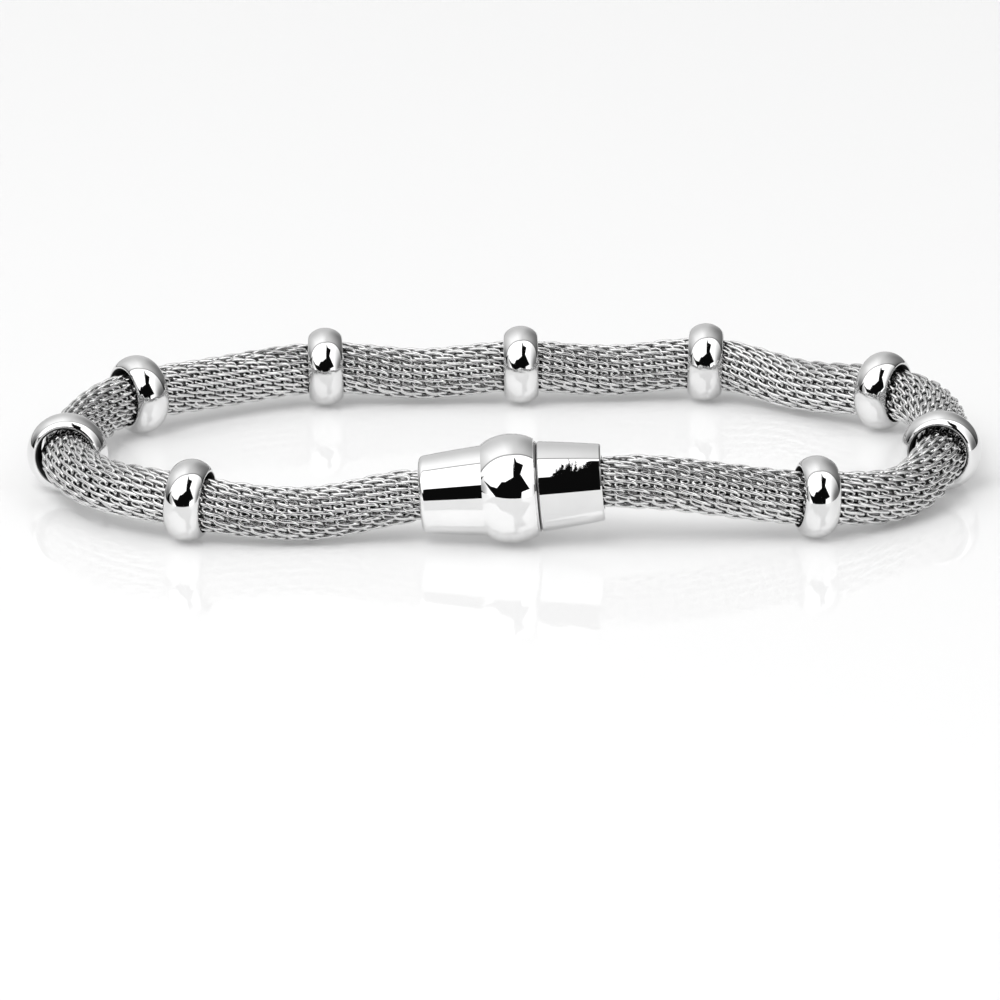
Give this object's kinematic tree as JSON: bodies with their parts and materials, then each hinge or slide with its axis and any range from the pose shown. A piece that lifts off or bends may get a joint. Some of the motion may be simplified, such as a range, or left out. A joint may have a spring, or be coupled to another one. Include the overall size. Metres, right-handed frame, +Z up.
{
  "type": "mesh bracelet",
  "caption": "Closed bracelet of round woven steel mesh tube with loose polished ring beads and a two-part magnetic clasp with a wide domed band, lying on its side.",
  "frame": {"origin": "centre of the loop's box, on the surface that the bracelet lies on", "axes": "+X across the loop towards the clasp's plain half, +Y from the clasp towards the back of the loop, +Z up through the wrist opening"},
  "size_m": [0.0798, 0.046, 0.009],
  "materials": {
    "woven_steel": "woven bright wire",
    "polished_steel": "mirror polished",
    "magnet": "nickel plated, hidden"
  },
  "bodies": {
    "root": {"mesh_tube": "woven_steel", "ring_bead_1": "polished_steel", "ring_bead_2": "polished_steel", "ring_bead_3": "polished_steel", "ring_bead_4": "polished_steel", "ring_bead_5": "polished_steel", "ring_bead_6": "polished_steel", "ring_bead_7": "polished_steel", "ring_bead_8": "polished_steel", "ring_bead_9": "polished_steel", "clasp_left": "polished_steel", "clasp_right": "polished_steel", "clasp_magnet": "magnet"}
  },
  "joints": []
}
